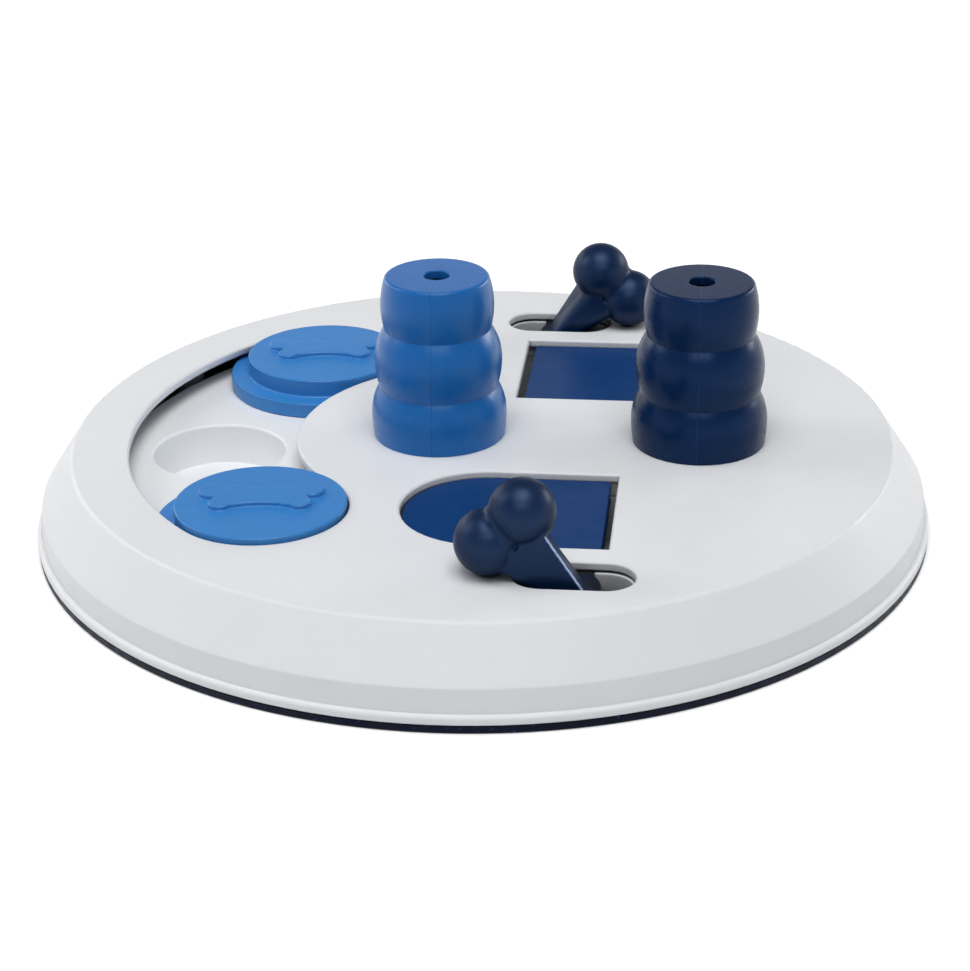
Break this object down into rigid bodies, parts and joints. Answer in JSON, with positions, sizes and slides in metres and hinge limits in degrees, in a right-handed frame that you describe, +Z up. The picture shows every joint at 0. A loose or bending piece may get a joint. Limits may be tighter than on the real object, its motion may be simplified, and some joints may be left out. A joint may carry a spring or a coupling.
{
  "type": "dog puzzle feeder",
  "caption": "Round treat puzzle board for dogs with lids that slide in a curved channel, lift-off stacked-ring hats, and sunk flaps opened by bone-shaped levers.",
  "frame": {"origin": "middle of the board, on the surface that it stands on", "axes": "+Z up out of the deck; the lid channel's middle lies towards -X and the two hats along X; the lever and flap pairs lie towards -Y (front) and +Y (rear)"},
  "size_m": [0.227, 0.227, 0.0651],
  "materials": {
    "deck_white": "satin moulded",
    "track_white": "satin moulded",
    "light_blue": "satin moulded",
    "navy_blue": "satin moulded",
    "ring_rubber": "matte",
    "screw_steel": "zinc plated"
  },
  "bodies": {
    "board": {"top_shell": "deck_white", "base_tray": "deck_white", "slider_track": "track_white", "anti_slip_ring": "ring_rubber", "shell_screws": "screw_steel"},
    "front_lid": {"slider_front": "light_blue"},
    "rear_lid": {"slider_rear": "light_blue"},
    "light_hat": {"hat_light": "light_blue"},
    "dark_hat": {"hat_dark": "navy_blue"},
    "front_flap": {"flap_front": "navy_blue", "hinge_axle_front": "navy_blue", "lever_hub_front": "navy_blue", "bone_lever_front": "navy_blue"},
    "rear_flap": {"flap_rear": "navy_blue", "hinge_axle_rear": "navy_blue", "lever_hub_rear": "navy_blue", "bone_lever_rear": "navy_blue"}
  },
  "joints": [
    {"name": "front_lid_slide", "type": "hinge", "parent": "board", "child": "front_lid", "pos_m": [0, 0, 0.0187], "axis": [0, 0, 1], "range_deg": [-45, 0]},
    {"name": "rear_lid_slide", "type": "hinge", "parent": "board", "child": "rear_lid", "pos_m": [0, 0, 0.0187], "axis": [0, 0, 1], "range_deg": [0, 45]},
    {"name": "light_hat_lift", "type": "slide", "parent": "board", "child": "light_hat", "axis": [0, 0, 1], "range_m": [0, 0.08]},
    {"name": "dark_hat_lift", "type": "slide", "parent": "board", "child": "dark_hat", "axis": [0, 0, 1], "range_m": [0, 0.08]},
    {"name": "front_flap_hinge", "type": "hinge", "parent": "board", "child": "front_flap", "pos_m": [0.03125, -0.055, 0.0167], "axis": [0, 1, 0], "range_deg": [0, 78]},
    {"name": "rear_flap_hinge", "type": "hinge", "parent": "board", "child": "rear_flap", "pos_m": [0.01155, 0.055, 0.0167], "axis": [0, -1, 0], "range_deg": [0, 78]}
  ]
}
